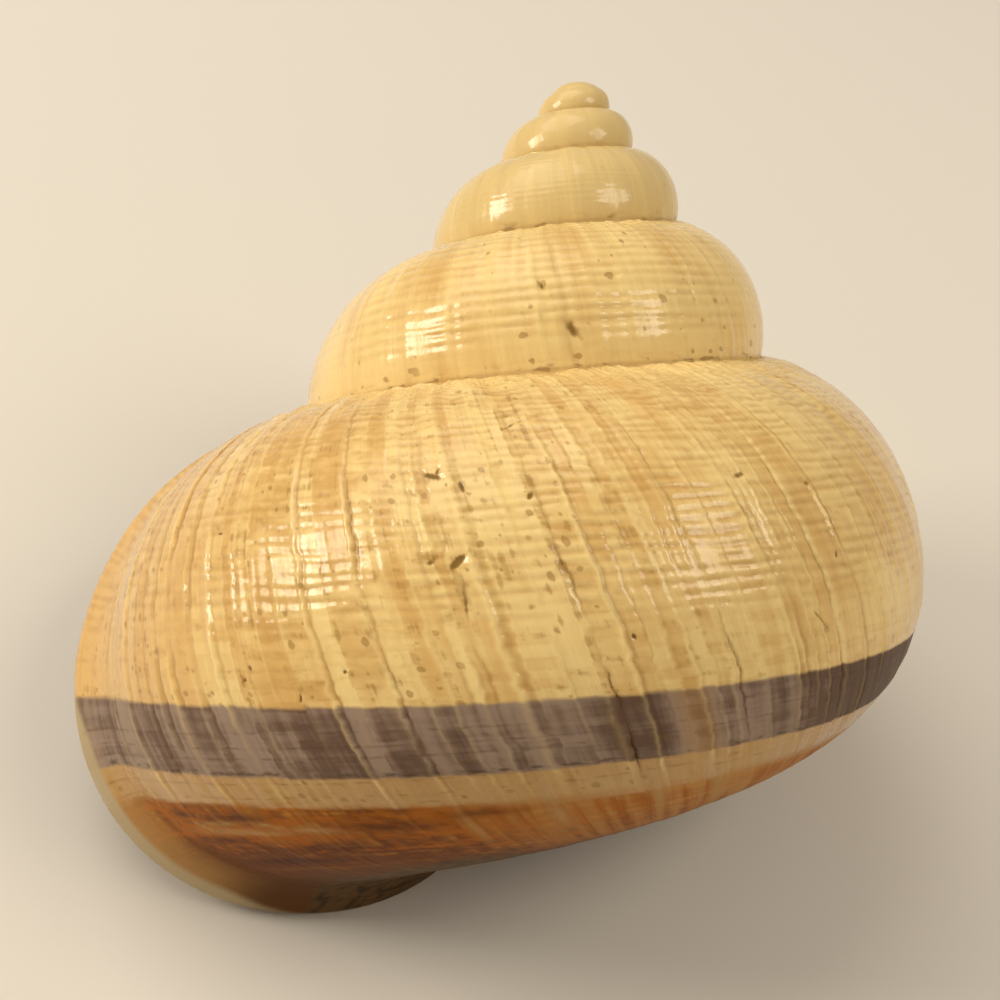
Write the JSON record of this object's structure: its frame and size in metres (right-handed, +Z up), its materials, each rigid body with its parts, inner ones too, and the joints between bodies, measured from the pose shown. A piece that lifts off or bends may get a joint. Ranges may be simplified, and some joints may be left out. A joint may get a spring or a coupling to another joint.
{
  "type": "tropidophora cuvieriana shell",
  "caption": "Empty snail shell of the land snail Tropidophora cuvieriana, coiled to the right, with a round flared mouth and a narrow umbilicus.",
  "frame": {"origin": "on the table under the middle of the shell's box", "axes": "+Z up from the table; the apex leans back towards +Y and the coil's banded outside faces -Y and up; the flared lip is at the low -X, -Y side"},
  "size_m": [0.0548, 0.0498, 0.0379],
  "materials": {
    "shell": "glossy cream and ochre lime with a purple-grey band and an orange-brown base"
  },
  "bodies": {
    "root": {"shell": "shell"}
  },
  "joints": []
}
